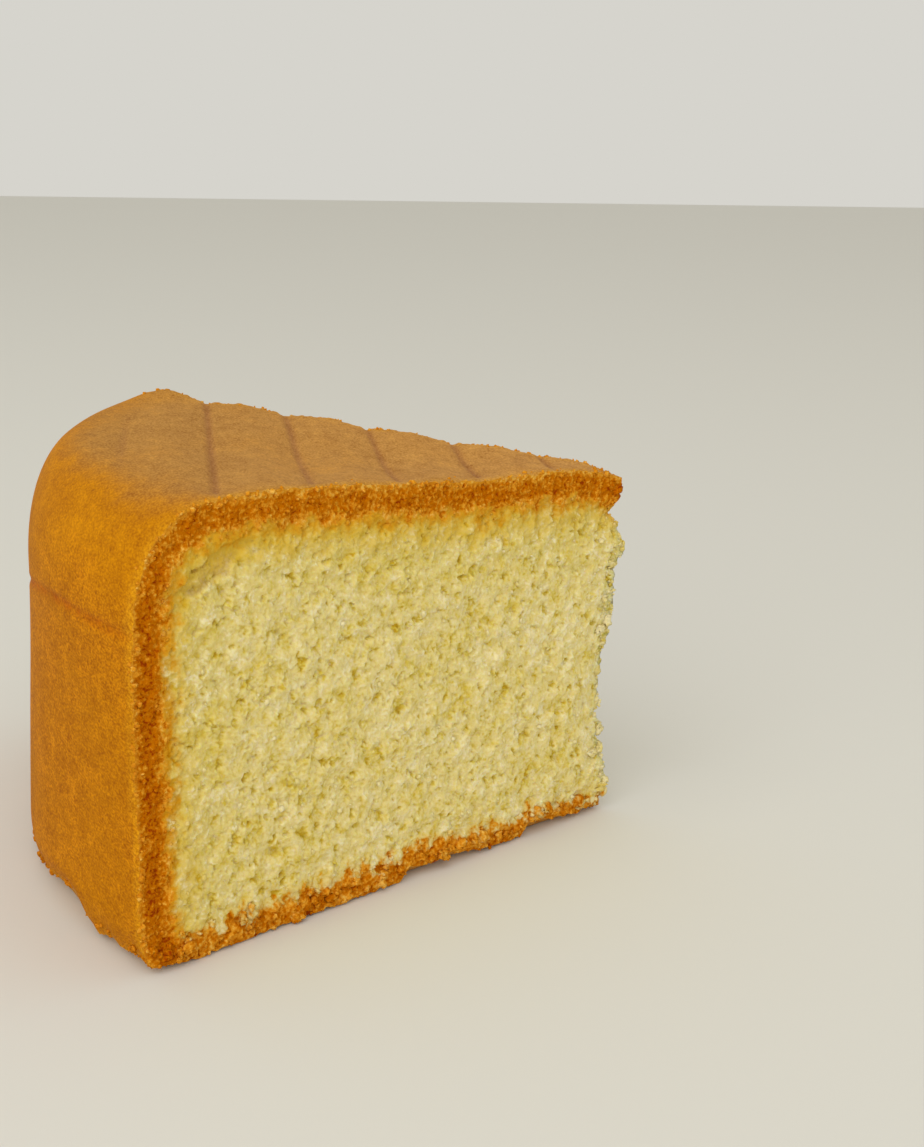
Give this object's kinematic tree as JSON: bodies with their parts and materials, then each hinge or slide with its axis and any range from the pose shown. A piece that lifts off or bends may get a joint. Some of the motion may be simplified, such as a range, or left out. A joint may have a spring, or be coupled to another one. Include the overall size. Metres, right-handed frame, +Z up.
{
  "type": "genoise sponge wedge",
  "caption": "Wedge of plain round sponge cake with a browned top, round shoulder and side, two crumb faces cut to a tip, and a flat base to stand on.",
  "frame": {"origin": "middle of the wedge's box on its flat base", "axes": "+Z up, +X towards the tip where the two cuts meet, -X towards the round browned side, and -Y towards the cut that faces the camera"},
  "size_m": [0.1072, 0.1086, 0.0735],
  "materials": {
    "sponge": "matte"
  },
  "bodies": {
    "root": {"genoise_wedge": "sponge"}
  },
  "joints": []
}
